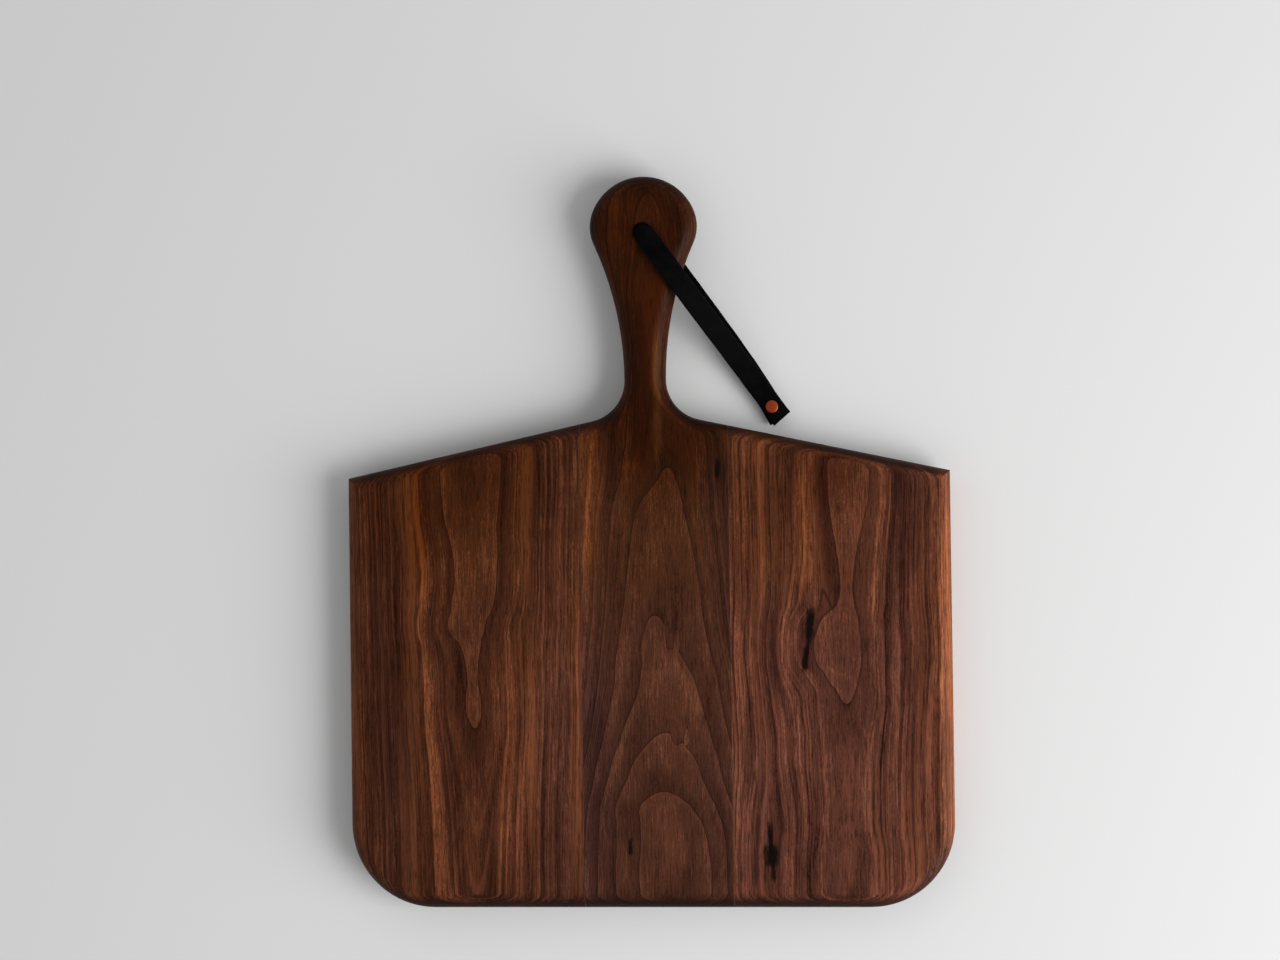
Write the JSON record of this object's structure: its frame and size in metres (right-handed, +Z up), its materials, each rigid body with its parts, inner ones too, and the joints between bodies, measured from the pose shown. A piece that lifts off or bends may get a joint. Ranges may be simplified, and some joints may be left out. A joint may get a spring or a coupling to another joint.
{
  "type": "serving board",
  "caption": "Walnut serving board of edge-glued staves with a rounded edge, sloping shoulders, a knob handle and a riveted leather hanging strap that swings about its hole.",
  "frame": {"origin": "middle of the board's outline, on the table it lies on", "axes": "+X to the right seen from the serving face, +Y from the foot towards the handle, +Z up out of the serving face"},
  "size_m": [0.356, 0.431, 0.0273],
  "materials": {
    "walnut_left": "oiled satin, straight dark grain lines with a pale flame figure",
    "walnut_handle": "oiled satin, cathedral arches that point at the handle",
    "walnut_right": "oiled satin, fine wavy grain with small dark knots",
    "glue": "dark hairline of cured wood glue, sanded flush",
    "leather": "black smooth leather with raw cut edges",
    "copper": "copper, lightly brushed and hammered"
  },
  "bodies": {
    "board": {"left_stave": "walnut_left", "glue_line_left": "glue", "handle_stave": "walnut_handle", "glue_line_right": "glue", "right_stave": "walnut_right"},
    "strap_loop": {"leather_strap": "leather", "rivet": "copper", "rivet_burr": "copper"}
  },
  "joints": [
    {"name": "strap_swing", "type": "hinge", "parent": "board", "child": "strap_loop", "pos_m": [0, 0.182, 0.0128], "axis": [0, 0, 1], "range_deg": [-4, 292]}
  ]
}
